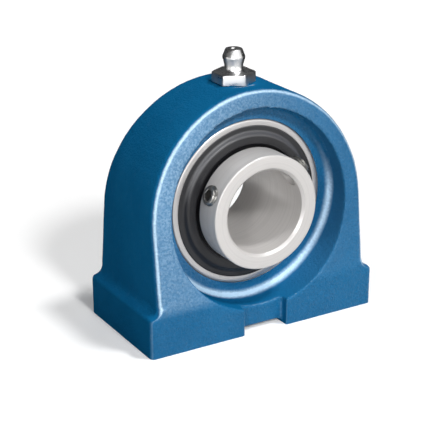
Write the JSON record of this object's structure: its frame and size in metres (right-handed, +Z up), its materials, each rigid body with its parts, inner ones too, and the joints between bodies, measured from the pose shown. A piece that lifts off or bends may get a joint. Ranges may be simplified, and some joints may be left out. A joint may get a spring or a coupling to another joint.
{
  "type": "pillow block bearing",
  "caption": "Short-base pillow block: arched cast housing with tapped base holes, swivelling sealed ball bearing insert locked by set screws, and a grease nipple on the crown.",
  "frame": {"origin": "middle of the mounting face, under the shaft's centre", "axes": "+X along the base to the right as seen from the set screw side, +Y along the shaft away from the set screws, +Z up"},
  "size_m": [0.076, 0.038, 0.0804],
  "materials": {
    "housing_enamel": "semi-gloss enamel over a sand-cast surface",
    "ring_steel": "ground",
    "ball_steel": "polished",
    "cage_polyamide": "moulded",
    "seal_rubber": "satin",
    "seal_plate_steel": "pressed",
    "screw_steel": "dark oiled",
    "nipple_plating": "bright plated",
    "spring_steel": "drawn wire"
  },
  "bodies": {
    "housing": {"housing": "housing_enamel", "nipple_body": "nipple_plating", "nipple_spring": "spring_steel"},
    "check_ball": {"nipple_ball": "ball_steel"},
    "insert": {"outer_ring": "ring_steel", "seal_front": "seal_rubber", "seal_rear": "seal_rubber", "seal_plate_front": "seal_plate_steel", "seal_plate_rear": "seal_plate_steel"},
    "inner_ring": {"inner_ring": "ring_steel"},
    "set_screw_a": {"set_screw_a": "screw_steel"},
    "set_screw_b": {"set_screw_b": "screw_steel"},
    "cage": {"cage": "cage_polyamide"},
    "ball_1": {"ball_1": "ball_steel"},
    "ball_2": {"ball_2": "ball_steel"},
    "ball_3": {"ball_3": "ball_steel"},
    "ball_4": {"ball_4": "ball_steel"},
    "ball_5": {"ball_5": "ball_steel"},
    "ball_6": {"ball_6": "ball_steel"},
    "ball_7": {"ball_7": "ball_steel"},
    "ball_8": {"ball_8": "ball_steel"},
    "ball_9": {"ball_9": "ball_steel"}
  },
  "joints": [
    {"name": "insert_swivel", "type": "hinge", "parent": "housing", "child": "insert", "pos_m": [0, 0, 0.0365], "axis": [1, 0, 0], "range_deg": [-5, 5]},
    {"name": "shaft_spin", "type": "hinge", "parent": "insert", "child": "inner_ring", "pos_m": [0, 0, 0.0365], "axis": [0, 1, 0], "continuous": true},
    {"name": "cage_orbit", "type": "hinge", "parent": "insert", "child": "cage", "pos_m": [0, 0, 0.0365], "axis": [0, 1, 0], "continuous": true},
    {"name": "set_screw_a_travel", "type": "slide", "parent": "inner_ring", "child": "set_screw_a", "axis": [-0.9205, 0, 0.3907], "range_m": [-0.0005, 0.003]},
    {"name": "set_screw_b_travel", "type": "slide", "parent": "inner_ring", "child": "set_screw_b", "axis": [0.7986, 0, 0.6018], "range_m": [-0.0013, 0.0022]},
    {"name": "check_ball_travel", "type": "slide", "parent": "housing", "child": "check_ball", "axis": [0, 0, -1], "range_m": [0, 0.0008], "stiffness_N_per_m": 60, "springref_m": -0.001, "deforming": ["nipple_spring"]},
    {"name": "ball_1_roll", "type": "hinge", "parent": "cage", "child": "ball_1", "pos_m": [0, 0, 0.05575], "axis": [0, 1, 0], "continuous": true},
    {"name": "ball_2_roll", "type": "hinge", "parent": "cage", "child": "ball_2", "pos_m": [-0.01237, 0, 0.05125], "axis": [0, 1, 0], "continuous": true},
    {"name": "ball_3_roll", "type": "hinge", "parent": "cage", "child": "ball_3", "pos_m": [-0.01896, 0, 0.03984], "axis": [0, 1, 0], "continuous": true},
    {"name": "ball_4_roll", "type": "hinge", "parent": "cage", "child": "ball_4", "pos_m": [-0.01667, 0, 0.02687], "axis": [0, 1, 0], "continuous": true},
    {"name": "ball_5_roll", "type": "hinge", "parent": "cage", "child": "ball_5", "pos_m": [-0.00658, 0, 0.01841], "axis": [0, 1, 0], "continuous": true},
    {"name": "ball_6_roll", "type": "hinge", "parent": "cage", "child": "ball_6", "pos_m": [0.00658, 0, 0.01841], "axis": [0, 1, 0], "continuous": true},
    {"name": "ball_7_roll", "type": "hinge", "parent": "cage", "child": "ball_7", "pos_m": [0.01667, 0, 0.02687], "axis": [0, 1, 0], "continuous": true},
    {"name": "ball_8_roll", "type": "hinge", "parent": "cage", "child": "ball_8", "pos_m": [0.01896, 0, 0.03984], "axis": [0, 1, 0], "continuous": true},
    {"name": "ball_9_roll", "type": "hinge", "parent": "cage", "child": "ball_9", "pos_m": [0.01237, 0, 0.05125], "axis": [0, 1, 0], "continuous": true}
  ],
  "couplings": [
    {"joint": "cage_orbit", "follows": "shaft_spin", "ratio": 0.39691},
    {"joint": "ball_1_roll", "follows": "shaft_spin", "ratio": -2.322},
    {"joint": "ball_2_roll", "follows": "shaft_spin", "ratio": -2.322},
    {"joint": "ball_3_roll", "follows": "shaft_spin", "ratio": -2.322},
    {"joint": "ball_4_roll", "follows": "shaft_spin", "ratio": -2.322},
    {"joint": "ball_5_roll", "follows": "shaft_spin", "ratio": -2.322},
    {"joint": "ball_6_roll", "follows": "shaft_spin", "ratio": -2.322},
    {"joint": "ball_7_roll", "follows": "shaft_spin", "ratio": -2.322},
    {"joint": "ball_8_roll", "follows": "shaft_spin", "ratio": -2.322},
    {"joint": "ball_9_roll", "follows": "shaft_spin", "ratio": -2.322}
  ]
}
